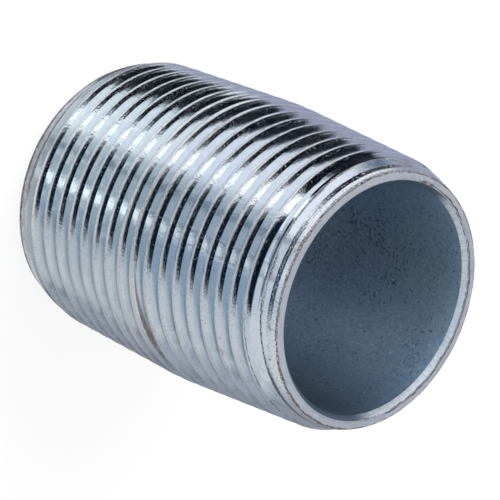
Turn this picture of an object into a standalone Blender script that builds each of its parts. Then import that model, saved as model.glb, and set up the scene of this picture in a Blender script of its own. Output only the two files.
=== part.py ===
"""Close conduit nipple, trade size 3/4: one piece of rigid steel tube threaded over its whole length.

The nipple stands on one end. Its axis is +Z, and the origin is the centre of the lower end face.
The thread is a right-hand helix of 14 threads to the inch with 60 degree flanks and a truncated crest.
Its crests lie on two cones that meet at the middle, so the nipple is widest there. At each end the
thread runs out on an outer chamfer, the end face is flat, and the mouth of the bore is reamed.
"""

import math

import bmesh
import bpy

# Driving dimensions, in metres
INCH = 0.0254
LENGTH = 1.375 * INCH           # overall length of a close nipple of this trade size
PITCH = INCH / 14               # 14 threads to the inch
CREST_D_MID = 1.050 * INCH      # outside diameter of the tube, kept by the crests at the middle
CREST_LAND = 0.0009             # half length of the stretch at the middle that keeps the full diameter
CREST_R_END = 0.012724          # crest radius where an end chamfer starts
CHAMFER_LENGTH = 0.00272        # length of an end chamfer along the axis
END_R = 0.0118                  # outer radius of an end face
BORE_R = 0.01065                # radius of the bore
MOUTH_R = 0.01103               # radius of the reamed mouth at the end face
MOUTH_DEPTH = 0.00045           # depth of the reamed mouth

# The thread is laid out on a lattice: COLUMNS steps to a turn and COLUMNS steps to a pitch.
# A helix rises one step in z for each step round, so it meets every column and both end faces
# exactly at a lattice point.
COLUMNS = 48
STEP = PITCH / COLUMNS
ROWS = round(LENGTH / STEP)

# One pitch, in lattice steps from the start of a crest towards +Z
CREST_STEPS = 21
FLANK_STEPS = 12
ROOT_STEPS = 3
THREAD_DEPTH = FLANK_STEPS * STEP / math.tan(math.radians(30))
PROFILE = (
    (0, 0.0),
    (CREST_STEPS, 0.0),
    (CREST_STEPS + FLANK_STEPS, THREAD_DEPTH),
    (CREST_STEPS + FLANK_STEPS + ROOT_STEPS, THREAD_DEPTH),
)


def crest_radius(z):
    """Radius of the crest cones at height z."""
    half = LENGTH / 2
    away = max(0.0, abs(z - half) - CREST_LAND)
    taper = (CREST_D_MID / 2 - CREST_R_END) / (half - CREST_LAND - CHAMFER_LENGTH)
    return CREST_D_MID / 2 - taper * away


def chamfer_radius(z):
    """Radius of the nearer end chamfer at height z."""
    from_end = min(z, LENGTH - z)
    return END_R + (CREST_R_END - END_R) * from_end / CHAMFER_LENGTH


def surface_radius(z, depth):
    return min(crest_radius(z) - depth, chamfer_radius(z))


def depth_at(lattice_steps):
    """Thread depth below the crest, at a distance along the pitch given in lattice steps."""
    along = lattice_steps % COLUMNS
    points = PROFILE + ((COLUMNS, 0.0),)
    for (a, da), (b, db) in zip(points, points[1:]):
        if a <= along <= b:
            return da + (db - da) * (along - a) / (b - a)
    return 0.0


def column_points(bm, column):
    """Vertices up one column, keyed by lattice row. Row 0 and row ROWS lie on the end faces."""
    angle = 2 * math.pi * column / COLUMNS
    rows = {0, ROWS}
    for offset, _ in PROFILE:
        row = (offset + column) % COLUMNS
        while row <= ROWS:
            rows.add(row)
            row += COLUMNS
    found = {}
    for row in sorted(rows):
        z = row * STEP
        r = surface_radius(z, depth_at(row - column))
        found[row] = bm.verts.new((r * math.cos(angle), r * math.sin(angle), z))
    return found


def thread_faces(bm, left, right, column):
    """Fills the strip between two neighbouring columns with triangles.

    A lattice row on the left column joins the next row up on the right column, because the helix
    rises one step from column to column. Only the rows on the end faces join level.
    """
    a, b = sorted(left), sorted(right)
    i = j = 0
    while i < len(a) - 1 or j < len(b) - 1:
        la, lb = left[a[i]], right[b[j]]
        step_left = i < len(a) - 1 and (j == len(b) - 1 or a[i + 1] + 1 <= b[j + 1])
        if step_left:
            bm.faces.new((la, lb, left[a[i + 1]]))
            i += 1
        else:
            bm.faces.new((la, lb, right[b[j + 1]]))
            j += 1


def ring(bm, radius, z):
    return [
        bm.verts.new((radius * math.cos(2 * math.pi * c / COLUMNS), radius * math.sin(2 * math.pi * c / COLUMNS), z))
        for c in range(COLUMNS)
    ]


def join_rings(bm, lower, upper):
    """Quads between two rings. They face away from the side that holds the rings in rising order."""
    for c in range(COLUMNS):
        n = (c + 1) % COLUMNS
        bm.faces.new((lower[c], lower[n], upper[n], upper[c]))


def make_nipple():
    bm = bmesh.new()
    columns = [column_points(bm, c) for c in range(COLUMNS)]
    for c in range(COLUMNS):
        nxt = (c + 1) % COLUMNS
        thread_faces(bm, columns[c], columns[nxt], c)
    outer_low = [columns[c][0] for c in range(COLUMNS)]
    outer_high = [columns[c][ROWS] for c in range(COLUMNS)]
    mouth_low = ring(bm, MOUTH_R, 0.0)
    bore_low = ring(bm, BORE_R, MOUTH_DEPTH)
    bore_high = ring(bm, BORE_R, LENGTH - MOUTH_DEPTH)
    mouth_high = ring(bm, MOUTH_R, LENGTH)
    # From the lower end face, up through the bore and out over the upper end face
    chain = [outer_high, mouth_high, bore_high, bore_low, mouth_low, outer_low]
    for first, second in zip(chain, chain[1:]):
        join_rings(bm, first, second)
    bmesh.ops.triangulate(bm, faces=[f for f in bm.faces if len(f.verts) > 3])
    mesh = bpy.data.meshes.new("nipple_body")
    bm.to_mesh(mesh)
    bm.free()
    mesh.shade_smooth()
    mesh.set_sharp_from_angle(angle=math.radians(25))
    body = bpy.data.objects.new("nipple_body", mesh)
    bpy.context.scene.collection.objects.link(body)
    return body


def zinc():
    """Bright zinc plating with a faint blue cast."""
    material = bpy.data.materials.new("zinc_plated_steel")
    material.use_nodes = True
    shader = material.node_tree.nodes["Principled BSDF"]
    shader.inputs["Base Color"].default_value = (0.70, 0.73, 0.76, 1.0)
    shader.inputs["Metallic"].default_value = 1.0
    shader.inputs["Roughness"].default_value = 0.28
    return material


for old in list(bpy.data.objects):
    bpy.data.objects.remove(old)

nipple = make_nipple()
nipple.data.materials.append(zinc())
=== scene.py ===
"""Looks of the close conduit nipple: fine thread mesh, zinc plating, dull bore, studio light and camera."""

import math

import bpy
import numpy as np
from mathutils import Matrix, Vector


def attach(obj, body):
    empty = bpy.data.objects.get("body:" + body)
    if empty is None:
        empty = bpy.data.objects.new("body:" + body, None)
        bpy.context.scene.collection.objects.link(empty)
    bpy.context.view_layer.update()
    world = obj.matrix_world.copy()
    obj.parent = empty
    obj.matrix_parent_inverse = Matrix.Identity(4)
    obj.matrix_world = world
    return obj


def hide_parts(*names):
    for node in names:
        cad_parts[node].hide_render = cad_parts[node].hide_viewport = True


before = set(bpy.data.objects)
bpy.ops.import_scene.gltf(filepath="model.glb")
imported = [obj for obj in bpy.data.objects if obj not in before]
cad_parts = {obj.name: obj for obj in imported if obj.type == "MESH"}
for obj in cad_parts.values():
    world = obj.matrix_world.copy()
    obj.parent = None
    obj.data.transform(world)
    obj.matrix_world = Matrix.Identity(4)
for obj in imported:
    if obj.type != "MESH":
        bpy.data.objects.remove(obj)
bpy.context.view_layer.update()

# ---------------------------------------------------------------- dimensions, in millimetres
MM = 0.001
LENGTH = 34.925
PITCH = 25.4 / 14
CREST_R = 13.335
CREST_LAND = 0.9
CREST_R_END = 12.724
CHAMFER_LENGTH = 2.72
END_R = 11.80
BORE_R = 10.65
MOUTH_R = 11.03
MOUTH_DEPTH = 0.45

COLUMNS = 240
STEP = PITCH / COLUMNS     # the rise of the helix from one column to the next

# The direction from the axis to the camera, seen from above
CAMERA_SIDE = math.radians(146.7)

# One pitch towards +Z, from the near edge of a crest over its flank and the groove to the next crest:
# distance along the axis and depth below the crest cone in the lower half, at the middle, where the
# crests are torn wider, and in the upper half, and how much of the crest's rough skin is there.
NEAR_EDGE = 0.872          # from where the helix crosses a column to the near edge of the crest
PROFILE = (
    (-0.100, 0.028, 0.000, 0.003, 0.050, 0.003, 0.50),
    (-0.088, 0.038, 0.012, 0.013, 0.062, 0.013, 0.20),
    (0.018, 0.142, 0.110, 0.105, 0.170, 0.115, 0.10),
    (0.128, 0.262, 0.200, 0.195, 0.290, 0.235, 0.10),
    (0.232, 0.370, 0.280, 0.280, 0.400, 0.353, 0.10),
    (0.330, 0.475, 0.345, 0.352, 0.490, 0.457, 0.10),
    (0.395, 0.542, 0.390, 0.402, 0.545, 0.522, 0.10),
    (0.515, 0.535, 0.425, 0.395, 0.595, 0.515, 0.10),
    (0.600, 0.172, 0.560, 0.200, 0.840, 0.160, 0.60),
    (0.645, 0.140, 0.610, 0.150, 0.890, 0.128, 0.90),
    (0.775, 0.102, 0.770, 0.112, 0.990, 0.094, 1.00),
    (0.925, 0.057, 0.950, 0.070, 1.100, 0.060, 1.00),
    (1.060, 0.014, 1.130, 0.035, 1.190, 0.034, 0.90),
    (1.125, 0.000, 1.260, 0.010, 1.320, 0.014, 0.70),
    (1.350, 0.008, 1.370, 0.002, 1.440, 0.002, 0.60),
    (1.662, 0.028, 1.762, 0.000, 1.812, 0.000, 0.55),
)

# The upper and the lower end, from the end face inwards: distance from the end face and radius
UPPER_SHAPE = (
    (0.00, 11.770),
    (0.04, 11.815),
    (0.10, 11.850),
    (0.25, 11.895),
    (0.53, 12.035),
    (0.57, 12.050),
    (0.65, 12.052),
    (0.73, 12.063),
    (0.88, 12.092),
    (0.96, 12.103),
    (1.04, 12.105),
    (1.08, 12.119),
    (2.38, 12.650),
    (2.50, 12.700),
    (2.95, 12.724),
)
LOWER_SHAPE = (
    (0.00, 11.770),
    (0.04, 11.815),
    (0.12, 11.860),
    (2.45, 12.640),
    (2.60, 12.690),
    (2.95, 12.724),
)
UPPER_ROWS = (0.02, 0.04, 0.07, 0.10, 0.16, 0.25, 0.34, 0.44, 0.50, 0.53, 0.57, 0.61, 0.65, 0.69, 0.73, 0.80, 0.88, 0.92, 0.96, 1.00, 1.04, 1.08, 1.12, 1.3, 1.6, 1.9, 2.2, 2.34, 2.42, 2.50, 2.65, 2.8)
LOWER_ROWS = (0.02, 0.04, 0.08, 0.12, 0.20, 0.5, 0.9, 1.3, 1.7, 2.1, 2.40, 2.50, 2.60, 2.8)


# ---------------------------------------------------------------- shapes
def smooth_noise(seed, at, cells=4096):
    """Periodic value noise in [-1, 1] at the given places, which count in cells."""
    values = np.random.default_rng(seed).uniform(-1, 1, cells)
    at = np.asarray(at, float)
    low = np.floor(at).astype(int)
    t = at - low
    t = t * t * (3 - 2 * t)
    return values[low % cells] * (1 - t) + values[(low + 1) % cells] * t


def drawn_in(z):
    """The threads are cut in from both ends a little finer than nominal, and pull in to the middle."""
    from_end = np.minimum(z, LENGTH - z)
    t = np.clip((from_end - 1.1) / 2.0, 0, 1)
    return z - 0.018 * (z - LENGTH / 2) * t * t * (3 - 2 * t)


def crest_radius(z):
    half = LENGTH / 2
    away = np.maximum(0.0, np.abs(z - half) - CREST_LAND)
    taper = (CREST_R - CREST_R_END) / (half - CREST_LAND - CHAMFER_LENGTH)
    return CREST_R - taper * away


def end_radius(z):
    from_end = np.minimum(z, LENGTH - z)
    shapes = []
    for shape in (LOWER_SHAPE, UPPER_SHAPE):
        x, r = zip(*shape)
        shapes.append(np.where(from_end > x[-1], 99.0, np.interp(from_end, x, r)))
    return np.where(z < LENGTH / 2, shapes[0], shapes[1])


def column(c):
    """Points up one column, from below: z, radius, share of rough skin, dirt."""
    fixed = np.array([0.0, *LOWER_ROWS, *(LENGTH - e for e in UPPER_ROWS[::-1]), LENGTH])
    table = np.array(PROFILE)
    turn = np.arange(-3, 20)
    shape = (len(turn), len(PROFILE))
    k = np.broadcast_to(np.arange(shape[1])[None], shape).ravel()
    # How far along the helix, in turns. The last point of a crest goes with the next turn's edge.
    helix = np.broadcast_to((turn + c / COLUMNS)[:, None], shape).ravel() + (k == shape[1] - 1)
    mean = (table[k, 0] + table[k, 2] + table[k, 4]) / 3
    begin = drawn_in(np.repeat(turn + c / COLUMNS, shape[1]) * PITCH + NEAR_EDGE + mean) - mean
    z = begin + mean
    # The last groove before the upper chamfer is narrow too
    edge_at = begin + np.where(k == 15, PITCH, 0.0)
    last = np.interp(edge_at, (31.20, 31.50), (0.0, 1.0))
    middle = np.exp(-((z - 16.6) / 3.1) ** 4) + last
    upper = np.where(z > 16.6, 1 - middle, 0.0)
    lower = 1 - middle - upper
    along = table[k, 0] * lower + table[k, 2] * middle + table[k, 4] * upper
    depth = table[k, 1] * lower + table[k, 3] * middle + table[k, 5] * upper
    # and shallow, as the crest below it is wide, and its far side is cut off by the chamfer
    along = np.where(k <= 7, along * (1 - 0.5 * last), along) + np.where((k <= 7) | (k == 15), 0.38 * last, 0.0)
    depth = np.where(k <= 6, depth * (1 - 0.38 * last), depth)
    wall = np.maximum(0.90, 32.93 - edge_at)
    along = np.where((k >= 7) & (k <= 14) & (last > 0.5), wall + np.where(k == 7, 0.0, 0.03 + 0.01 * (k - 8)), along)
    depth = np.where((k == 7) & (last > 0.5), 0.275, np.where((k >= 8) & (last > 0.5), 0.0, depth))
    # The crests are torn and worn unevenly along the helix
    calm = 0.35 + 0.65 * np.exp(-((z - 16.6) / 3.1) ** 4)
    wide = calm * (0.07 * smooth_noise(11, helix * 9) + 0.030 * smooth_noise(12, helix * 61))
    ragged = calm * (0.030 * smooth_noise(13, helix * 33) + 0.014 * smooth_noise(14, helix * 120))
    shift = wide * np.select([(k == 12) | (k == 13), k == 14], [1.0, 0.7], 0.0) + np.where((k >= 8) & (k <= 11), ragged, 0.0)
    shift = shift + np.where((k <= 1) | (k == 15), 0.010 * smooth_noise(15, helix * 47), 0.0)
    z = begin + along + shift
    depth = depth + np.where((k >= 2) & (k <= 4), 0.004 * smooth_noise(16, helix * 27), 0.0)
    depth = depth + np.where((k >= 9) & (k <= 11), 0.010 * (1 + smooth_noise(17, helix * 80)), 0.0)
    # The first crest from the upper end is a torn, dirty line, and the first one from the lower end is dirty
    torn = np.where(z > LENGTH / 2, (k == 8) | (k == 9), (k >= 13) | (k == 0)).astype(float)
    torn = np.where((k == 7) & (last > 0.5), 0.75, torn)
    order = np.argsort(z)
    z, depth, skin, torn = z[order], depth[order], table[k, 6][order], torn[order]

    def radii(at, deep):
        """The lower chamfer carries the groove into its cone, and the upper one cuts it off."""
        end = end_radius(at)
        carried = np.minimum(crest_radius(at), end) - deep * np.interp(at, (1.10, 1.50), (0.0, 1.0))
        return np.where(at < LENGTH / 2, carried, crest_radius(at) - deep), end

    thread, end = radii(z, depth)
    shown = end > thread - 0.02
    shown = (shown | np.roll(shown, 1) | np.roll(shown, -1)) & (z > 0.01) & (z < LENGTH - 0.01)
    kept = z[shown]
    clear = np.abs(fixed[:, None] - kept[None]).min(1) > 0.012
    clear[0] = clear[-1] = True
    fixed = fixed[clear]
    zs = np.concatenate([kept, fixed])
    depths = np.concatenate([depth[shown], np.interp(fixed, z, depth)])
    skins = np.concatenate([skin[shown], np.interp(fixed, z, skin)])
    torns = np.concatenate([torn[shown], np.interp(fixed, z, torn)])
    order = np.argsort(zs)
    zs, depths, skins, torns = zs[order], depths[order], skins[order], torns[order]
    thread, end = radii(zs, depths)
    from_end = np.minimum(zs, LENGTH - zs)
    on_end = np.where(end < thread - 0.01, 1.0, 0.0)
    skins = skins * (1 - on_end) + on_end * np.interp(from_end, (0.50, 0.56, 1.05, 1.10), (0.7, 1.0, 1.0, 0.15))
    # The lower end is worn back a little on one side
    side = (360.0 * c / COLUMNS - math.degrees(CAMERA_SIDE) + 180) % 360 - 180
    side_band = 0.16 * float(np.interp(side, (-120, -85, -35, -5), (0.0, 1.0, 1.0, 0.0))) * np.interp(zs, (0.0, 1.2), (1.0, 0.0))
    dirt = torns * np.interp(zs, (1.0, 1.2, 1.95, 2.2, 32.3, 32.6, 33.8, 34.1), (0.0, 0.9, 0.9, 0.0, 0.0, 1.0, 1.0, 0.0))
    return zs, np.minimum(thread, end) - side_band, skins, dirt


def make_body():
    angle_of = [2 * math.pi * c / COLUMNS for c in range(COLUMNS)]
    points, skins, dirts, heights, first = [], [], [], [], [0]
    for c in range(COLUMNS):
        z, r, skin, dirt = column(c)
        heights.append(z.tolist())
        points.append(np.c_[r * math.cos(angle_of[c]), r * math.sin(angle_of[c]), z])
        skins.append(skin)
        dirts.append(dirt)
        first.append(first[-1] + len(z))
    count = first[-1]

    faces, uvs, kinds = [], [], []

    def u_of(c):
        return c / COLUMNS

    def v_of(z):
        return 0.30 + 0.70 * z / LENGTH

    for c in range(COLUMNS):
        n = (c + 1) % COLUMNS
        a, b = heights[c], heights[n]
        fa, fb = first[c], first[n]
        i = j = 0
        while i < len(a) - 1 or j < len(b) - 1:
            if i < len(a) - 1 and (j == len(b) - 1 or a[i + 1] + STEP / 2 <= b[j + 1]):
                faces.append((fa + i, fb + j, fa + i + 1))
                uvs += [(u_of(c), v_of(a[i])), (u_of(c + 1), v_of(b[j])), (u_of(c), v_of(a[i + 1]))]
                i += 1
            else:
                faces.append((fa + i, fb + j, fb + j + 1))
                uvs += [(u_of(c), v_of(a[i])), (u_of(c + 1), v_of(b[j])), (u_of(c + 1), v_of(b[j + 1]))]
                j += 1
            kinds.append(0)

    # The lathe-turned rest: upper end face, reamed mouth, bore, reamed mouth, lower end face
    bore_z = np.linspace(MOUTH_DEPTH + 0.02, LENGTH - MOUTH_DEPTH - 0.02, 13)[::-1]
    chain = [
        (END_R - 0.07, LENGTH, 1),
        (MOUTH_R + 0.03, LENGTH, 1),
        (MOUTH_R, LENGTH - 0.015, 2),
        (BORE_R + 0.015, LENGTH - MOUTH_DEPTH + 0.01, 2),
    ]
    chain += [(BORE_R, float(z), 3) for z in bore_z]
    chain += [
        (BORE_R + 0.015, MOUTH_DEPTH - 0.01, 2),
        (MOUTH_R, 0.015, 2),
        (MOUTH_R + 0.03, 0.0, 1),
        (END_R - 0.30, 0.0, 1),
    ]
    rings = [[first[c] + len(heights[c]) - 1 for c in range(COLUMNS)]]
    extra = []
    for r, z, kind in chain:
        rings.append([count + len(extra) + c for c in range(COLUMNS)])
        extra += [(r * math.cos(a), r * math.sin(a), z) for a in angle_of]
    rings.append([first[c] for c in range(COLUMNS)])
    ring_kind = [1] + [k for _, _, k in chain] + [1]
    # Lengths along the section give the v of the unwrapped strip
    run = [0.0]
    where = [(END_R, LENGTH)] + [(r, z) for r, z, _ in chain] + [(END_R, 0.0)]
    for p, q in zip(where, where[1:]):
        run.append(run[-1] + math.dist(p, q))
    for s in range(len(rings) - 1):
        va, vb = 0.28 - 0.27 * run[s] / run[-1], 0.28 - 0.27 * run[s + 1] / run[-1]
        pair = (ring_kind[s], ring_kind[s + 1])
        kind = 2 if 2 in pair else max(pair)
        for c in range(COLUMNS):
            n = (c + 1) % COLUMNS
            faces.append((rings[s][c], rings[s][n], rings[s + 1][n], rings[s + 1][c]))
            uvs += [(u_of(c), va), (u_of(c + 1), va), (u_of(c + 1), vb), (u_of(c), vb)]
            kinds.append(kind)

    co = np.vstack(points + [np.array(extra)]) * MM
    mesh = bpy.data.meshes.new("nipple_threads")
    mesh.from_pydata(co.tolist(), [], faces)
    layer = mesh.uv_layers.new(name="OFBake")
    layer.uv.foreach_set("vector", np.array(uvs, np.float32).ravel())
    for name, values in (("skin", skins), ("dirt", dirts)):
        attribute = mesh.attributes.new(name, "FLOAT", "POINT")
        attribute.data.foreach_set("value", np.concatenate(values + [np.zeros(len(extra))]).astype(np.float32))
    mesh.polygons.foreach_set("material_index", np.array(kinds, np.int32))
    mesh.shade_smooth()
    mesh.set_sharp_from_angle(angle=math.radians(30))
    mesh.update()
    body = bpy.data.objects.new("nipple_shell", mesh)
    bpy.context.scene.collection.objects.link(body)
    return body


# ---------------------------------------------------------------- node helpers
class Nodes:
    """Short calls that add nodes to one tree and return their output sockets."""

    def __init__(self, tree):
        self.tree = tree

    def add(self, kind, **settings):
        node = self.tree.nodes.new(kind)
        for key, value in settings.items():
            setattr(node, key, value)
        return node

    def put(self, socket, value):
        if isinstance(value, bpy.types.NodeSocket):
            self.tree.links.new(value, socket)
        elif isinstance(value, (tuple, list)) and len(value) == 3 and socket.type == "RGBA":
            socket.default_value = (*value, 1.0)
        else:
            socket.default_value = value

    def math(self, operation, a, b=None, c=None, clamp=False):
        node = self.add("ShaderNodeMath", operation=operation, use_clamp=clamp)
        for i, v in enumerate((a, b, c)):
            if v is not None:
                self.put(node.inputs[i], v)
        return node.outputs[0]

    def ramp(self, value, low, high, out_low=0.0, out_high=1.0):
        """Smooth step from low to high. low may be above high."""
        if low > high:
            low, high, out_low, out_high = high, low, out_high, out_low
        node = self.add("ShaderNodeMapRange", interpolation_type="SMOOTHSTEP")
        self.put(node.inputs["Value"], value)
        self.put(node.inputs["From Min"], low)
        self.put(node.inputs["From Max"], high)
        self.put(node.inputs["To Min"], out_low)
        self.put(node.inputs["To Max"], out_high)
        return node.outputs["Result"]

    def mix(self, share, a, b):
        node = self.add("ShaderNodeMix", data_type="RGBA")
        self.put(node.inputs["Factor"], share)
        self.put(node.inputs["A"] if node.inputs["A"].type == "RGBA" else node.inputs[6], a)
        self.put(node.inputs[7], b)
        return node.outputs[2]

    def mixf(self, share, a, b):
        node = self.add("ShaderNodeMix", data_type="FLOAT")
        self.put(node.inputs[0], share)
        self.put(node.inputs[2], a)
        self.put(node.inputs[3], b)
        return node.outputs[0]

    def dot(self, vector, constant):
        node = self.add("ShaderNodeVectorMath", operation="DOT_PRODUCT")
        self.put(node.inputs[0], vector)
        node.inputs[1].default_value = constant
        return node.outputs["Value"]

    def scale(self, colour, factor):
        node = self.add("ShaderNodeVectorMath", operation="SCALE")
        self.put(node.inputs[0], colour)
        self.put(node.inputs["Scale"], factor)
        return node.outputs["Vector"]

    def noise(self, vector, scale, detail=2.0, roughness=0.5, distortion=0.0):
        node = self.add("ShaderNodeTexNoise")
        self.put(node.inputs["Vector"], vector)
        node.inputs["Scale"].default_value = scale
        node.inputs["Detail"].default_value = detail
        node.inputs["Roughness"].default_value = roughness
        node.inputs["Distortion"].default_value = distortion
        return node.outputs[0]

    def bump(self, height, distance, strength=1.0, normal=None):
        node = self.add("ShaderNodeBump")
        self.put(node.inputs["Height"], height)
        node.inputs["Distance"].default_value = distance
        node.inputs["Strength"].default_value = strength
        if normal is not None:
            self.put(node.inputs["Normal"], normal)
        return node.outputs[0]


def new_material(name):
    material = bpy.data.materials.new(name)
    material.use_nodes = True
    tree = material.node_tree
    return material, Nodes(tree), tree.nodes["Principled BSDF"]


def places(n):
    """Object position in metres; radius, distance from the nearer end face and height in mm; and the
    angle round the axis from the camera's side, in degrees."""
    at = n.add("ShaderNodeTexCoord").outputs["Object"]
    split = n.add("ShaderNodeSeparateXYZ")
    n.put(split.inputs[0], at)
    x, y, z = split.outputs
    radius = n.math("MULTIPLY", n.math("SQRT", n.math("ADD", n.math("MULTIPLY", x, x), n.math("MULTIPLY", y, y))), 1000.0)
    height = n.math("MULTIPLY", z, 1000.0)
    from_end = n.math("MINIMUM", height, n.math("SUBTRACT", LENGTH, height))
    towards, across = side_axes()
    angle = n.math("ARCTAN2", n.dot(at, tuple(across)), n.dot(at, tuple(towards)))
    angle = n.math("MULTIPLY", angle, 180 / math.pi)
    return at, radius, from_end, height, angle


def window(n, value, centre, half, soft):
    """1 within half of the centre, falling to 0 over soft."""
    off = n.math("ABSOLUTE", n.math("SUBTRACT", value, centre))
    return n.ramp(off, half + soft, half)


def times(n, *values):
    out = values[0]
    for v in values[1:]:
        out = n.math("MULTIPLY", out, v)
    return out


def zinc_thread():
    material, n, shader = new_material("zinc_thread")
    at, radius, from_end, height, angle = places(n)
    skin = n.add("ShaderNodeAttribute", attribute_name="skin").outputs["Fac"]
    torn = n.add("ShaderNodeAttribute", attribute_name="dirt").outputs["Fac"]
    fine = n.noise(at, 9000.0, 2.0, 0.6)
    specks = n.noise(at, 7000.0, 1.0, 0.5)
    middle = n.noise(at, 2600.0, 2.0, 0.5)
    coarse = n.noise(at, 1400.0, 3.0, 0.6)
    large = n.noise(at, 160.0, 2.0, 0.5)
    # The flanks of the lower half have a pale, less metallic haze and a greener cast. The haze is partly real and
    # partly painted light: it is cut off by angle round the axis, so only one side turns paler.
    half = n.ramp(height, 14.0, 19.5)
    front = n.ramp(angle, 172.0, 120.0)
    haze_and_sheen = times(n, n.ramp(height, 19.0, 12.0), n.ramp(skin, 0.45, 0.15), n.ramp(angle, -36.0, -26.0), front, n.ramp(coarse, 0.35, 0.65, 0.10, 0.36))
    tone = n.mix(half, n.mix(n.ramp(coarse, 0.35, 0.7), (0.68, 0.76, 0.78), (0.73, 0.80, 0.81)), n.mix(n.ramp(coarse, 0.35, 0.7), (0.70, 0.74, 0.80), (0.76, 0.79, 0.83)))
    # Painted reflection colour: beyond 14 degrees round the axis the lower half turns bluer and greyer.
    tone = n.mix(times(n, n.ramp(angle, 14.0, 26.0), n.ramp(height, 20.0, 15.0), front, 0.8), tone, (0.69, 0.735, 0.79))
    # Painted shade: the lower half darkens towards black beyond 12 degrees round the axis, by up to 0.28 beyond 66
    # degrees.
    shade = n.math("ADD", n.ramp(angle, 12.0, 24.0, 0.0, 0.08), n.ramp(angle, 46.0, 66.0, 0.0, 0.20))
    tone = n.mix(times(n, shade, front, n.ramp(height, 20.0, 15.0)), tone, (0.02, 0.02, 0.03))
    # Painted shade on the lower chamfer, darkest near -60 degrees round the axis.
    tone = n.mix(times(n, n.ramp(height, 3.1, 2.7), n.math("ADD", 0.36, times(n, window(n, angle, -60.0, 10.0, 10.0), 0.28))), tone, (0.0, 0.02, 0.04))
    # Darker patches, drawn out round the axis, on the side beyond 30 degrees
    patch = n.add("ShaderNodeCombineXYZ")
    n.put(patch.inputs[0], n.math("MULTIPLY", angle, 0.045))
    n.put(patch.inputs[1], n.math("MULTIPLY", height, 0.55))
    patches = n.noise(patch.outputs[0], 2.2, 3.0, 0.6)
    tone = n.mix(times(n, n.ramp(patches, 0.46, 0.62), n.ramp(angle, 30.0, 55.0), front, 0.26), tone, (0.11, 0.13, 0.16))
    # Painted shade in the bottoms of the grooves on the side that faces down: a blue tint in the lower half, then a
    # thin grey shade
    apart = n.math("MAXIMUM", n.math("SUBTRACT", n.math("ABSOLUTE", n.math("SUBTRACT", height, LENGTH / 2)), CREST_LAND), 0.0)
    taper = (CREST_R - CREST_R_END) / (LENGTH / 2 - CREST_LAND - CHAMFER_LENGTH)
    deep = n.math("SUBTRACT", n.math("SUBTRACT", CREST_R, n.math("MULTIPLY", apart, taper)), radius)
    tone = n.mix(times(n, n.ramp(deep, 0.12, 0.34), n.ramp(angle, 17.0, 28.0), n.ramp(angle, 60.0, 42.0), n.ramp(height, 21.0, 16.0), n.ramp(from_end, 3.0, 3.4), 0.42), tone, (0.20, 0.32, 0.44))
    tone = n.mix(times(n, n.ramp(deep, 0.24, 0.42), n.ramp(angle, 20.0, 42.0), front, n.ramp(from_end, 3.0, 3.4), n.ramp(height, 17.0, 21.0, 0.50, 0.36)), tone, (0.10, 0.15, 0.18))
    # A darker band on the flanks of the upper half, at about 4 to 9 degrees round the axis.
    side_band = times(n, half, window(n, angle, 6.6, 2.6, 1.5), n.ramp(skin, 0.45, 0.15))
    tone = n.mix(n.math("MULTIPLY", side_band, 0.75), tone, (0.38, 0.41, 0.45))
    tone = n.mix(times(n, skin, n.ramp(large, 0.36, 0.60)), tone, (0.83, 0.82, 0.81))
    tone = n.mix(times(n, skin, n.ramp(specks, 0.575, 0.70), 0.75), tone, (0.22, 0.23, 0.26))
    # Painted glints: white specks on the rough skin, denser and stronger on the lit side below -5 degrees round the
    # axis
    back = n.ramp(angle, -176.0, -140.0)
    lit = n.math("MULTIPLY", n.ramp(angle, -5.0, -32.0), back)
    glints_and_flakes = n.math("ADD", n.noise(at, 10500.0, 1.0, 0.5), n.math("ADD", n.math("MULTIPLY", lit, 0.020), n.ramp(skin, 0.65, 0.90, 0.0, 0.030)))
    glints_and_flakes = times(n, n.ramp(glints_and_flakes, 0.675, 0.74), n.math("MAXIMUM", n.ramp(skin, 0.1, 0.6, 0.06, 0.8), n.math("MULTIPLY", lit, 0.3)))
    # Dirt: on the torn first crests, at the edges of the end faces, in flecks, and one streak. A painted dark
    # reflection near the upper end, at about 88 degrees, goes in with it.
    ragged = n.noise(at, 1900.0, 3.0, 0.65)
    grains = n.noise(at, 9000.0, 1.0, 0.5)
    first = times(n, n.ramp(torn, 0.40, 0.75), n.ramp(grains, 0.38, 0.52), 0.9, n.math("MAXIMUM", n.ramp(angle, 30.0, 23.0), n.ramp(height, 20.0, 10.0)))
    first = times(n, first, back, n.math("MAXIMUM", n.ramp(angle, 25.0, 15.0), n.ramp(height, 10.0, 20.0)))
    # Beyond the side that faces the camera the torn lines run out onto the upper chamfer
    scatter = n.math("MULTIPLY", n.math("SUBTRACT", ragged, 0.5), 0.16)
    run_a = n.math("ADD", n.math("SUBTRACT", height, n.math("MULTIPLY", angle, 0.0135)), scatter)
    run_b = n.math("ADD", n.math("SUBTRACT", height, n.math("MULTIPLY", angle, 0.0207)), scatter)
    run_c = n.math("ADD", n.math("ADD", height, n.math("MULTIPLY", angle, 0.075)), scatter)
    runs = times(n, window(n, run_a, 32.97, 0.050, 0.06), n.ramp(angle, 14.0, 20.0), n.ramp(angle, 92.0, 84.0))
    runs = n.math("MAXIMUM", runs, times(n, window(n, run_b, 31.05, 0.050, 0.07), n.ramp(angle, 24.0, 36.0), n.ramp(angle, 92.0, 84.0), n.ramp(coarse, 0.34, 0.50)))
    runs = n.math("MAXIMUM", runs, times(n, window(n, run_c, 27.80, 0.10, 0.12), n.ramp(angle, -68.0, -72.0), n.ramp(angle, -88.0, -84.0)))
    runs = times(n, runs, n.ramp(grains, 0.32, 0.50), 0.95)
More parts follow.
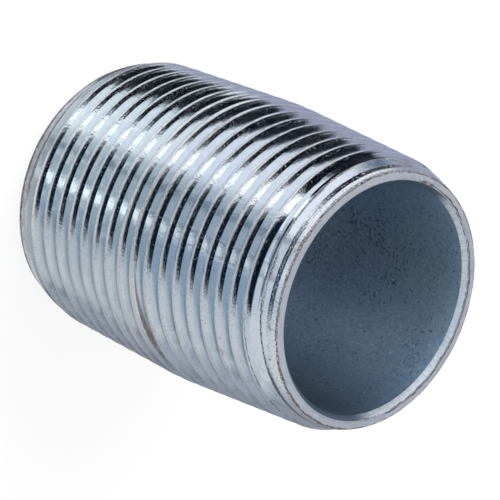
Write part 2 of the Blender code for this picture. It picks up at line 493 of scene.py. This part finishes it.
    # Painted dark reflection: a dark blot on the upper chamfer near 88 degrees round the axis, mixed in with the dirt.
    painted_dark_reflection = times(n, window(n, angle, 88.0, 4.0, 5.0), n.ramp(height, 31.9, 32.6), n.ramp(height, 34.5, 34.2), n.ramp(ragged, 0.36, 0.60), 0.35)
    teal_dirt_and_dark_reflection = n.math("MAXIMUM", runs, painted_dark_reflection)
    # A wide dark teal band along the first of these lines, between 36 and 110 degrees round the axis.
    tone = n.mix(times(n, window(n, run_a, 33.02, 0.10, 0.16), n.ramp(angle, 36.0, 60.0), n.ramp(angle, 110.0, 92.0), 0.85), tone, (0.12, 0.17, 0.19))
    reach = n.ramp(height, 1.0, 3.0, 0.30, 0.0)
    near = n.math("SUBTRACT", n.math("ADD", from_end, n.math("MULTIPLY", ragged, 0.24)), reach)
    broad = n.noise(at, 420.0, 2.0, 0.6)
    near = n.math("ADD", near, n.math("MULTIPLY", n.math("SUBTRACT", broad, 0.5), 0.22))
    edge = times(n, n.ramp(near, 0.36, 0.27), n.ramp(coarse, 0.26, 0.40), n.ramp(grains, 0.34, 0.46))
    flakes = times(n, n.ramp(from_end, 0.45, 0.30), n.ramp(n.noise(at, 7500.0, 1.0, 0.5), 0.62, 0.70))
    edge = times(n, edge, n.math("SUBTRACT", 1.0, flakes))
    glints_and_flakes = n.math("MAXIMUM", glints_and_flakes, n.math("MULTIPLY", flakes, 0.45))
    flecks = times(n, n.ramp(n.noise(at, 750.0, 2.0, 0.6), 0.66, 0.72), n.ramp(skin, 0.3, 0.8), n.ramp(angle, 18.0, 32.0), front, 0.75)
    along = n.math("SUBTRACT", height, n.math("ADD", 17.35, n.math("MULTIPLY", angle, 0.019)))
    aside = n.math("DIVIDE", n.math("ABSOLUTE", along), n.ramp(angle, 25.0, 70.0, 0.17, 0.32))
    streak = times(n, n.ramp(aside, 1.0, 0.3), n.ramp(angle, 22.0, 32.0), n.ramp(angle, 80.0, 70.0), n.ramp(ragged, 0.26, 0.44), 0.85)
    dirt = n.math("MAXIMUM", n.math("MAXIMUM", n.math("MAXIMUM", first, teal_dirt_and_dark_reflection), edge), n.math("MAXIMUM", flecks, streak))
    brown = n.mix(n.ramp(ragged, 0.40, 0.66), (0.050, 0.038, 0.042), (0.165, 0.138, 0.138))
    brown = n.mix(n.ramp(n.math("MAXIMUM", torn, teal_dirt_and_dark_reflection), 0.35, 0.8), brown, (0.030, 0.036, 0.042))
    # The lower chamfer is the duller and dirtier one
    dull = n.ramp(height, 1.45, 1.25)
    tone = n.mix(dull, tone, n.mix(n.ramp(coarse, 0.35, 0.65), (0.50, 0.52, 0.56), (0.72, 0.74, 0.78)))
    stain = times(n, dull, window(n, angle, -52.0, 8.0, 6.0))
    tone = n.mix(stain, tone, (0.07, 0.06, 0.08))
    tone = n.mix(glints_and_flakes, tone, (0.78, 0.83, 0.90))
    n.put(shader.inputs["Base Color"], n.mix(dirt, tone, brown))
    n.put(shader.inputs["Metallic"], n.ramp(n.math("MAXIMUM", n.math("MAXIMUM", dirt, glints_and_flakes), haze_and_sheen), 0.0, 1.0, 1.0, 0.0))
    n.put(shader.inputs["Specular IOR Level"], n.mixf(dirt, 0.5, 0.08))
    rough = n.mixf(skin, n.ramp(coarse, 0.3, 0.7, 0.09, 0.13), n.ramp(fine, 0.3, 0.7, 0.09, 0.18))
    n.put(shader.inputs["Roughness"], n.mixf(n.math("MAXIMUM", dirt, n.math("MULTIPLY", dull, 0.6)), rough, 0.7))
    relief = n.math("ADD", times(n, n.math("SUBTRACT", fine, 0.5), skin, 0.022), times(n, n.math("SUBTRACT", middle, 0.5), n.math("ADD", skin, 0.22), 0.018))
    relief = n.math("ADD", relief, times(n, n.math("SUBTRACT", coarse, 0.5), 0.007))
    relief = n.math("ADD", relief, times(n, n.math("SUBTRACT", ragged, 0.5), n.math("MAXIMUM", first, edge), 0.06))
    n.put(shader.inputs["Normal"], n.bump(relief, MM))
    return material


def zinc_end():
    material, n, shader = new_material("zinc_end")
    at, radius, from_end, height, angle = places(n)
    fine = n.noise(at, 5000.0, 3.0, 0.6)
    large = n.noise(at, 300.0, 2.0, 0.5)
    ragged = n.noise(at, 1500.0, 3.0, 0.65)
    tone = n.mix(n.ramp(large, 0.35, 0.65), (0.50, 0.525, 0.56), (0.57, 0.595, 0.625))
    tone = n.mix(n.ramp(fine, 0.50, 0.75, 0.0, 0.4), tone, (0.50, 0.50, 0.52))
    wander = n.math("MULTIPLY", n.math("SUBTRACT", ragged, 0.5), 0.28)
    inner = times(n, window(n, n.math("ADD", radius, wander), 11.19, 0.040, 0.05), n.ramp(n.math("ABSOLUTE", angle), 70.0, 105.0), n.ramp(large, 0.34, 0.46))
    outer = times(n, n.ramp(n.math("ADD", radius, wander), 11.66, 11.74), n.ramp(coarse_of(n, at), 0.40, 0.52))
    rust = times(n, window(n, angle, -89.0, 4.5, 3.0), n.ramp(radius, 11.45, 11.25), n.ramp(ragged, 0.44, 0.54))
    dirt = n.math("MAXIMUM", n.math("MAXIMUM", inner, outer), rust)
    brown = n.mix(n.ramp(ragged, 0.38, 0.66), (0.026, 0.018, 0.022), (0.115, 0.094, 0.094))
    n.put(shader.inputs["Base Color"], n.mix(dirt, tone, brown))
    n.put(shader.inputs["Metallic"], n.ramp(dirt, 0.0, 1.0, 0.9, 0.1))
    n.put(shader.inputs["Specular IOR Level"], n.mixf(dirt, 0.5, 0.10))
    n.put(shader.inputs["Roughness"], n.mixf(dirt, n.ramp(fine, 0.3, 0.7, 0.42, 0.58), 0.8))
    n.put(shader.inputs["Normal"], n.bump(fine, 0.00001, 0.6))
    return material


def coarse_of(n, at):
    return n.noise(at, 900.0, 3.0, 0.6)


def zinc_mouth():
    material, n, shader = new_material("zinc_mouth")
    at, radius, from_end, height, angle = places(n)
    fine = n.noise(at, 3000.0, 3.0, 0.6)
    # Chatter marks of the reamer, which run down the slope
    marks = n.add("ShaderNodeCombineXYZ")
    n.put(marks.inputs[0], n.math("MULTIPLY", angle, 0.55))
    n.put(marks.inputs[1], n.math("MULTIPLY", radius, 0.8))
    chatter = n.noise(marks.outputs[0], 1.6, 3.0, 0.6)
    tone = n.mix(fine, (0.80, 0.83, 0.85), (0.90, 0.92, 0.94))
    tone = n.mix(n.ramp(chatter, 0.46, 0.66, 0.0, 0.5), tone, (0.50, 0.56, 0.60))
    ragged = n.noise(at, 1500.0, 3.0, 0.65)
    wander = n.math("MULTIPLY", n.math("SUBTRACT", ragged, 0.5), 0.20)
    line = times(n, n.ramp(n.math("ADD", radius, wander), 10.995, 11.04), n.ramp(n.math("ABSOLUTE", angle), 70.0, 105.0))
    # Painted shade: the side of the mouth towards the camera, out to about 100 degrees either way, is dark blue, a
    # little lighter between 5 and 62 degrees; the far side stays pale.
    tone = n.mix(n.ramp(n.math("ABSOLUTE", n.math("SUBTRACT", angle, 5.5)), 118.0, 103.0), tone, n.mix(n.math("MULTIPLY", n.ramp(angle, -20.0, 5.0), n.ramp(angle, 84.0, 62.0)), (0.145, 0.195, 0.25), (0.24, 0.30, 0.36)))
    n.put(shader.inputs["Base Color"], n.mix(line, tone, (0.06, 0.040, 0.045)))
    n.put(shader.inputs["Metallic"], n.ramp(line, 0.0, 1.0, 0.9, 0.1))
    n.put(shader.inputs["Roughness"], n.ramp(chatter, 0.3, 0.7, 0.34, 0.55))
    n.put(shader.inputs["Normal"], n.bump(n.math("ADD", times(n, chatter, 0.05), times(n, fine, 0.012)), MM))
    return material


def dull_bore():
    material, n, shader = new_material("dull_bore")
    at, radius, from_end, height, angle = places(n)
    grain = n.noise(at, 4200.0, 3.0, 0.7)
    mottle = n.noise(at, 2300.0, 3.0, 0.6)
    pits = n.noise(at, 3900.0, 0.0, 0.5)
    where = n.noise(at, 260.0, 1.0, 0.5)
    cluster = times(n, window(n, angle, -158.0, 16.0, 16.0), window(n, height, 20.5, 4.5, 5.0))
    large = n.noise(at, 75.0, 2.0, 0.5)
    spark = n.noise(at, 5200.0, 0.0, 0.5)
    base = n.mix(n.ramp(large, 0.36, 0.64), (0.150, 0.240, 0.360), (0.200, 0.295, 0.375))
    base = n.mix(n.ramp(mottle, 0.42, 0.66, 0.0, 0.40), base, (0.085, 0.150, 0.240))
    base = n.mix(n.ramp(grain, 0.50, 0.70, 0.0, 0.45), base, (0.34, 0.43, 0.50))
    pits = n.math("ADD", pits, n.math("MULTIPLY", cluster, 0.115))
    hole = times(n, n.ramp(pits, 0.685, 0.785), n.ramp(where, 0.36, 0.60, 0.45, 1.0))
    base = n.mix(n.math("MULTIPLY", hole, 0.90), base, (0.050, 0.085, 0.140))
    # Painted glints: sparse pale specks on the bore wall.
    base = n.mix(times(n, n.ramp(spark, 0.78, 0.84), 0.6), base, (0.60, 0.66, 0.72))
    # Painted light and shade on the wall: its colour is scaled down to 0.24 at about 90 to 105 degrees on one side of
    # the mouth, and up to 1.13 near -126 degrees on the other
    beyond = n.math("ADD", n.math("MULTIPLY", window(n, angle, -126.0, 12.0, 16.0), 0.13), 1.0)
    beyond = n.math("MULTIPLY", beyond, n.ramp(angle, -80.0, 0.0, 1.0, 0.8))
    before = n.math("MAXIMUM", n.ramp(angle, 104.0, 172.0, 0.24, 1.0), n.ramp(angle, 92.0, 30.0, 0.24, 0.8))
    factor = n.mixf(n.math("GREATER_THAN", angle, 0.0), beyond, before)
    base = n.scale(base, factor)
    n.put(shader.inputs["Base Color"], base)
    shader.inputs["Metallic"].default_value = 0.35
    n.put(shader.inputs["Roughness"], n.ramp(grain, 0.3, 0.7, 0.42, 0.62))
    relief = n.math("ADD", times(n, grain, 0.02), times(n, hole, -0.03))
    n.put(shader.inputs["Normal"], n.bump(relief, MM))
    return material


def pale_floor():
    material, n, shader = new_material("pale_floor")
    at = n.add("ShaderNodeTexCoord").outputs["Object"]
    grain = n.noise(at, 900.0, 2.0, 0.5)
    n.put(shader.inputs["Base Color"], n.mix(grain, (0.095, 0.095, 0.095), (0.105, 0.105, 0.105)))
    shader.inputs["Roughness"].default_value = 0.9
    shader.inputs["Specular IOR Level"].default_value = 0.1
    shader.inputs["Emission Color"].default_value = (1.0, 1.0, 1.0, 1.0)
    shader.inputs["Emission Strength"].default_value = 0.875
    return material


# ---------------------------------------------------------------- studio
def side_axes():
    towards = Vector((math.cos(CAMERA_SIDE), math.sin(CAMERA_SIDE), 0.0))
    across = Vector((0, 0, 1)).cross(towards)
    return towards, across


def make_world():
    """A studio round the object: large soft panels, dark flags between them and a pale room."""
    world = bpy.data.worlds.new("studio")
    bpy.context.scene.world = world
    world.use_nodes = True
    world.cycles.sampling_method = "NONE"
    tree = world.node_tree
    n = Nodes(tree)
    towards, across = side_axes()
    direction = n.add("ShaderNodeTexCoord").outputs["Generated"]
    x = n.dot(direction, tuple(towards))
    y = n.dot(direction, tuple(across))
    z = n.dot(direction, (0.0, 0.0, 1.0))
    around = n.math("MULTIPLY", n.math("ARCTAN2", y, x), 180 / math.pi)

    black = (0.003, 0.005, 0.010)
    lavender = (0.40, 0.42, 0.54)
    pale = (0.62, 0.67, 0.70)
    dim = (0.41, 0.45, 0.52)
    dark = (0.32, 0.35, 0.40)
    # Below the horizon, by the way round: dark flags with one bright strip, then pale to one side
    ring = n.mix(n.ramp(around, -55, -50), black, (1.50, 1.60, 1.70))
    ring = n.mix(n.ramp(around, -35, -30), ring, (0.003, 0.010, 0.021))
    ring = n.mix(n.ramp(around, 47.0, 49.0), ring, pale)
    ring = n.mix(n.ramp(around, 58, 80), ring, (0.66, 0.71, 0.75))
    ring = n.mix(n.ramp(around, 94, 118), ring, dim)
    ring = n.mix(n.ramp(around, 125, 146), ring, dark)
    ring = n.mix(n.ramp(around, -128, -142), ring, lavender)
    # The floor straight below, which shows further up behind
    below = n.mix(n.ramp(y, -0.10, -0.30), (0.84, 0.82, 0.87), (1.12, 1.13, 1.22))
    below = n.mix(n.ramp(x, 0.10, 0.22), below, (0.57, 0.575, 0.61))
    below = n.mix(n.ramp(y, 0.25, 0.40), below, (0.55, 0.56, 0.58))
    reach = n.ramp(x, 0.30, -0.62, -0.880, -0.735)
    # Upright features of the room, told by how far they stand to the side: a dark edge and a bright strip
    aside = n.math("MULTIPLY", y, n.ramp(z, 0.48, 0.58, 0.84, 1.0))
    edge = n.math("MULTIPLY", n.ramp(aside, -0.250, -0.225), n.ramp(aside, -0.160, -0.178))
    strip = n.math("MULTIPLY", n.ramp(aside, 0.085, 0.110), n.ramp(aside, 0.205, 0.180))
    strip = n.math("MULTIPLY", strip, n.ramp(z, 0.76, 0.84, 1.0, 0.35))
    # Above the horizon: a grey blue room, a pale panel to one side and a black flag beyond it
    room = n.mix(n.ramp(aside, -0.20, -0.17), (0.44, 0.54, 0.62), (0.36, 0.46, 0.55))
    room = n.mix(n.ramp(aside, -0.06, 0.04), room, (0.29, 0.40, 0.51))
    room = n.mix(edge, room, (0.13, 0.20, 0.27))
    room = n.mix(strip, room, (1.28, 1.42, 1.48))
    upper = n.mix(n.ramp(aside, -0.34, -0.43), room, (0.84, 0.92, 1.02))
    ahead = n.math("MULTIPLY", n.math("MAXIMUM", x, 0.0), n.ramp(z, 0.50, 0.58))
    upper = n.mix(n.ramp(y, -0.805, -0.850), upper, black)
    past = n.math("ADD", y, n.math("ADD", n.math("MULTIPLY", ahead, 0.58), n.ramp(z, 0.50, 0.58, 0.245, 0.0)))
    upper = n.mix(n.ramp(past, 0.82, 0.92), upper, pale)
    upper = n.mix(n.math("MULTIPLY", n.ramp(x, 0.02, -0.16), n.ramp(y, 0.4, 0.6)), upper, dim)
    side = n.mix(n.ramp(y, -0.2, 0.2), lavender, dark)
    upper = n.mix(n.ramp(x, -0.36, -0.46), upper, side)
    # Behind and above, a large soft panel
    upper = n.mix(n.math("MULTIPLY", n.ramp(x, -0.50, -0.62), n.ramp(z, 0.40, 0.55)), upper, (0.95, 0.96, 1.0))
    # The horizon: pale in front and brighter to the left, bluer just under it
    low = n.mix(n.math("MULTIPLY", n.ramp(around, -46, -54), n.ramp(around, -98, -92)), (0.12, 0.17, 0.24), black)
    level = n.mix(n.ramp(around, -10, -20), (0.64, 0.71, 0.78), (0.98, 1.03, 1.12))
    level = n.mix(edge, level, (0.30, 0.36, 0.42))
    level = n.mix(n.math("MULTIPLY", strip, 0.8), level, (1.10, 1.20, 1.26))
    belt = n.mix(n.ramp(z, -0.15, -0.25), level, low)
    belt = n.mix(n.ramp(around, 38, 50), belt, (0.72, 0.78, 0.81))
    belt = n.mix(n.ramp(around, 92, 112), belt, dim)
    belt = n.mix(n.math("MULTIPLY", n.ramp(z, 0.15, 0.25), n.ramp(around, -50, -58)), belt, black)
    belt = n.mix(n.ramp(x, -0.30, -0.50), belt, side)

    colour = n.mix(n.ramp(z, 0.20, 0.28), belt, upper)
    # Behind the object, where only its far side looks: a bright strip between two dark flags
    rear = n.math("MULTIPLY", n.ramp(x, -0.70, -0.78), n.ramp(z, 0.46, 0.38))
    flags = n.math("MAXIMUM", window(n, y, -0.40, 0.15, 0.06), window(n, y, 0.42, 0.13, 0.06))
    colour = n.mix(n.math("MULTIPLY", rear, flags), colour, (0.02, 0.025, 0.035))
    colour = n.mix(n.math("MULTIPLY", rear, window(n, y, 0.02, 0.09, 0.06)), colour, (1.15, 1.20, 1.28))
    colour = n.mix(n.ramp(z, -0.38, -0.46), colour, ring)
    colour = n.mix(n.ramp(n.math("SUBTRACT", z, reach), 0.02, -0.03), colour, below)

    path = n.add("ShaderNodeLightPath")
    soft = n.mix(n.ramp(y, -0.7, 0.7), (1.25, 1.25, 1.28), (0.75, 0.75, 0.78))
    colour = n.mix(path.outputs["Is Diffuse Ray"], colour, soft)
    colour = n.mix(path.outputs["Is Camera Ray"], colour, (0.98, 0.98, 0.98))
    background = tree.nodes["Background"]
    tree.links.new(colour, background.inputs["Color"])


def make_floor():
    mesh = bpy.data.meshes.new("floor")
    s = 3.0
    mesh.from_pydata([(-s, -s, 0), (s, -s, 0), (s, s, 0), (-s, s, 0)], [], [(0, 1, 2, 3)])
    floor = bpy.data.objects.new("floor", mesh)
    bpy.context.scene.collection.objects.link(floor)
    floor.data.materials.append(pale_floor())
    floor.visible_glossy = False
    return floor


def area_light(name, direction, distance, size, watts, colour=(1, 1, 1)):
    data = bpy.data.lights.new(name, "AREA")
    data.shape = "DISK"
    data.size = size
    data.energy = watts
    data.color = colour
    light = bpy.data.objects.new(name, data)
    bpy.context.scene.collection.objects.link(light)
    target = Vector((0, 0, LENGTH * MM / 2))
    light.location = target + direction.normalized() * distance
    light.rotation_mode = "QUATERNION"
    light.rotation_quaternion = direction.to_track_quat("Z", "Y")
    light.visible_camera = False
    light.visible_glossy = False
    return light


def make_camera():
    """The photo's view: the axis leans 46.56 degrees from the line of sight and runs to the lower right."""
    focal, distance = 5260.3, 459.87      # pixels of a 500 pixel frame, and millimetres
    u, v = 376.93, 300.63                 # where the centre of the upper end face shows
    lean, roll = math.radians(46.556), math.radians(23.68)
    # In camera terms: x right, y down, z forward
    axis = Vector((math.cos(roll) * math.sin(lean), math.sin(roll) * math.sin(lean), -math.cos(lean)))
    across = Vector((-math.sin(roll), math.cos(roll), 0.0))
    towards = across.cross(axis)
    centre = Vector(((u - 249.5) / focal, (v - 249.5) / focal, 1.0)) * distance
    towards_w, across_w = side_axes()
    up_w = Vector((0, 0, 1))

    def to_world(p):
        return up_w * p.dot(axis) + towards_w * p.dot(towards) + across_w * p.dot(across)

    place = (Vector((0, 0, LENGTH)) - to_world(centre)) * MM
    right, down, ahead = (to_world(Vector(e)) for e in ((1, 0, 0), (0, 1, 0), (0, 0, 1)))
    data = bpy.data.cameras.new("camera")
    data.sensor_width = 36.0
    data.sensor_fit = "HORIZONTAL"
    data.lens = focal * 36.0 / 500.0
    data.clip_start = 0.01
    data.clip_end = 10.0
    camera = bpy.data.objects.new("camera", data)
    bpy.context.scene.collection.objects.link(camera)
    camera.matrix_world = Matrix((
        (right.x, -down.x, -ahead.x, place.x),
        (right.y, -down.y, -ahead.y, place.y),
        (right.z, -down.z, -ahead.z, place.z),
        (0, 0, 0, 1),
    ))
    bpy.context.scene.camera = camera
    return camera


# ---------------------------------------------------------------- build
body = make_body()
for material in (zinc_thread(), zinc_end(), zinc_mouth(), dull_bore()):
    body.data.materials.append(material)
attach(body, "root")
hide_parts("nipple_body")

make_floor()
make_world()
towards, across = side_axes()
area_light("key", Vector((0.0, 0.0, 1.0)) - across * 0.6 + towards * 0.2, 0.6, 0.35, 3.0)
make_camera()
bpy.context.scene.view_settings.view_transform = "Standard"
